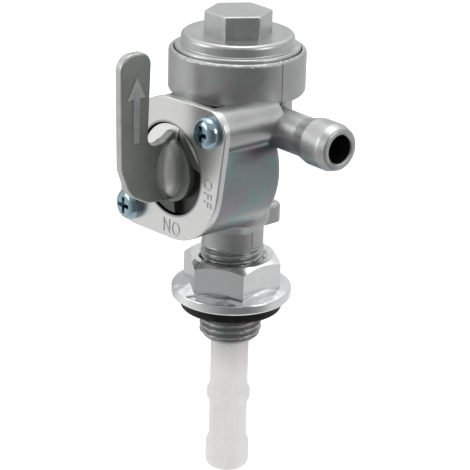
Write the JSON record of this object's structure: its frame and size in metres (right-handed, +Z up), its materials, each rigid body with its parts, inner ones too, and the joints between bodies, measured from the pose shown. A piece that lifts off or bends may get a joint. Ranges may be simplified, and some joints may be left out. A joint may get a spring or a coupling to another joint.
{
  "type": "fuel tap",
  "caption": "Small engine fuel tap with a lever valve, a hexagon filter cap, a hose spigot, and a threaded stem with a flange nut, washer and standpipe.",
  "frame": {"origin": "on the thread axis in the plane where the rubber washer meets the tank", "axes": "+Z up the thread axis towards the filter cap, +X along the outlet spigot, -Y out of the lever's plate"},
  "size_m": [0.0507, 0.0471, 0.1086],
  "materials": {
    "zinc_casting": "as cast, dull, with a faint passivation tint",
    "cap_metal": "turned, satin",
    "lever_casting": "as cast, polished by the thumb on its rounded edges",
    "plate_steel": "bright",
    "nut_steel": "bright plated",
    "screw_steel": "blue zinc plated",
    "spring_steel": "plain",
    "seal_rubber": "smooth",
    "washer_rubber": "matt",
    "strainer_plastic": "moulded",
    "nylon": "milky, slightly see-through"
  },
  "bodies": {
    "tap": {"valve_body": "zinc_casting", "strainer": "strainer_plastic", "valve_packing": "seal_rubber", "wave_washer": "spring_steel", "retainer_plate": "plate_steel", "plate_screw_upper": "screw_steel", "plate_screw_lower": "screw_steel", "standpipe": "nylon"},
    "handle": {"lever": "lever_casting", "rotor_seal": "seal_rubber"},
    "cap_ring": {"cap_seal": "seal_rubber"},
    "cap": {"filter_cap": "cap_metal"},
    "washer": {"sealing_washer": "washer_rubber"},
    "nut": {"flange_nut": "nut_steel"}
  },
  "joints": [
    {"name": "lever_turn", "type": "hinge", "parent": "tap", "child": "handle", "pos_m": [0, -0.0182, 0.03625], "axis": [0, -1, 0], "range_deg": [0, 90]},
    {"name": "cap_lift", "type": "slide", "parent": "tap", "child": "cap_ring", "axis": [0, 0, 1], "range_m": [0, 0.0035]},
    {"name": "cap_turn", "type": "hinge", "parent": "cap_ring", "child": "cap", "pos_m": [0, 0, 0.06], "axis": [0, 0, 1], "range_deg": [0, 840]},
    {"name": "nut_travel", "type": "slide", "parent": "tap", "child": "washer", "axis": [0, 0, 1], "range_m": [-0.006, 0.004]},
    {"name": "nut_turn", "type": "hinge", "parent": "washer", "child": "nut", "pos_m": [0, 0, 0.006], "axis": [0, 0, 1], "range_deg": [-1440, 960]}
  ],
  "couplings": [
    {"joint": "cap_lift", "follows": "cap_turn", "m_per_rad": 0.0002387},
    {"joint": "nut_travel", "follows": "nut_turn", "m_per_rad": 0.0002387}
  ]
}
